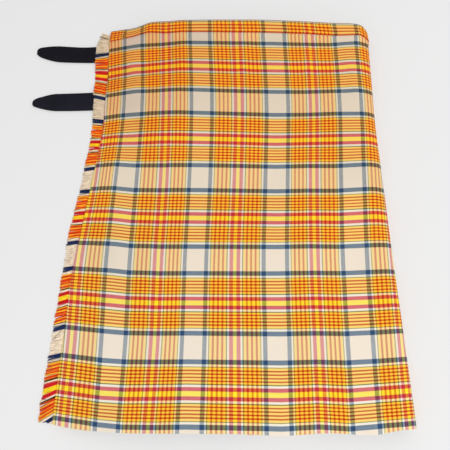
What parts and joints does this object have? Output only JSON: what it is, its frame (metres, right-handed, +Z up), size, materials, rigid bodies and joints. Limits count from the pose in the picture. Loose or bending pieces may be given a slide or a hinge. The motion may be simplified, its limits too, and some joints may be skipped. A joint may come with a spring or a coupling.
{
  "type": "scottish kilt",
  "caption": "Tartan kilt laid flat with its front up: fringed over apron, waistband, hidden under apron and knife-pleated back, and two leather straps at one side.",
  "frame": {"origin": "on the underside, on the middle of one pleat's face, about midway between hem and waist", "axes": "+X towards the wearer's left, +Y towards the waist, +Z up from the surface it lies on"},
  "size_m": [0.5462, 0.6105, 0.0283],
  "materials": {
    "tartan": "wool twill in cream, yellow, orange red, crimson, green and navy",
    "fringe": "loose wool threads in the stripes of the cloth",
    "strap_leather": "smooth, satin, nearly black"
  },
  "bodies": {
    "root": {"over_apron": "tartan", "under_apron": "tartan", "pleated_back": "tartan", "waistband_front": "tartan", "waistband_back": "tartan", "fringe_strip": "fringe", "strap_upper": "strap_leather", "strap_lower": "strap_leather"}
  },
  "joints": []
}
